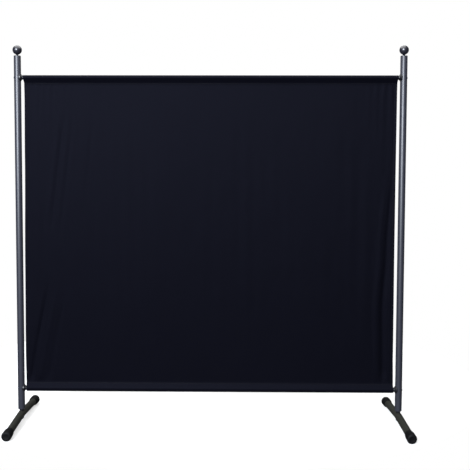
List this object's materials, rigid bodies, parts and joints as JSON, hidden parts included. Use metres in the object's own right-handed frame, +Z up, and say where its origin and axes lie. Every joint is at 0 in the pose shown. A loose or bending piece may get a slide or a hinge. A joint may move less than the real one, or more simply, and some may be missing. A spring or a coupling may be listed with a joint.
{
  "type": "room divider screen",
  "caption": "Free-standing fabric privacy screen: cloth panel on crossbars between ball-topped steel posts, on bent tube feet that swivel flat for storage.",
  "frame": {"origin": "on the floor, midway between the posts and midway along the feet", "axes": "+X along the panel's width, to the right as seen from the front; +Y through the panel, from front to back; +Z up"},
  "size_m": [1.819, 0.5676, 1.7585],
  "materials": {
    "post_coating": "anthracite powder coat, satin",
    "finial_lacquer": "moulded plastic, lacquered anthracite",
    "foot_coating": "dark grey powder coat, matt",
    "nylon_fittings": "black moulded nylon",
    "rubber_caps": "black rubber, matt",
    "fasteners": "zinc-plated steel",
    "panel_cloth": "woven polyester, near black"
  },
  "bodies": {
    "frame": {"crossbar_top": "post_coating", "crossbar_bottom": "post_coating", "fabric_panel": "panel_cloth", "post_left": "post_coating", "post_plug_left": "nylon_fittings", "finial_left": "finial_lacquer", "post_insert_left": "nylon_fittings", "foot_bolt_left": "fasteners", "saddle_top_left": "nylon_fittings", "bar_plug_top_left": "nylon_fittings", "bar_bolt_top_left": "fasteners", "saddle_bottom_left": "nylon_fittings", "bar_plug_bottom_left": "nylon_fittings", "bar_bolt_bottom_left": "fasteners", "post_right": "post_coating", "post_plug_right": "nylon_fittings", "finial_right": "finial_lacquer", "post_insert_right": "nylon_fittings", "foot_bolt_right": "fasteners", "saddle_top_right": "nylon_fittings", "bar_plug_top_right": "nylon_fittings", "bar_bolt_top_right": "fasteners", "saddle_bottom_right": "nylon_fittings", "bar_plug_bottom_right": "nylon_fittings", "bar_bolt_bottom_right": "fasteners"},
    "left_foot": {"foot_left": "foot_coating", "foot_saddle_left": "nylon_fittings", "foot_washer_left": "fasteners", "foot_cap_front_left": "rubber_caps", "foot_cap_rear_left": "rubber_caps"},
    "right_foot": {"foot_right": "foot_coating", "foot_saddle_right": "nylon_fittings", "foot_washer_right": "fasteners", "foot_cap_front_right": "rubber_caps", "foot_cap_rear_right": "rubber_caps"}
  },
  "joints": [
    {"name": "left_foot_swivel", "type": "hinge", "parent": "frame", "child": "left_foot", "pos_m": [-0.887, 0, 0.061], "axis": [0, 0, 1], "range_deg": [-90, 90]},
    {"name": "right_foot_swivel", "type": "hinge", "parent": "frame", "child": "right_foot", "pos_m": [0.887, 0, 0.061], "axis": [0, 0, 1], "range_deg": [-90, 90]}
  ]
}
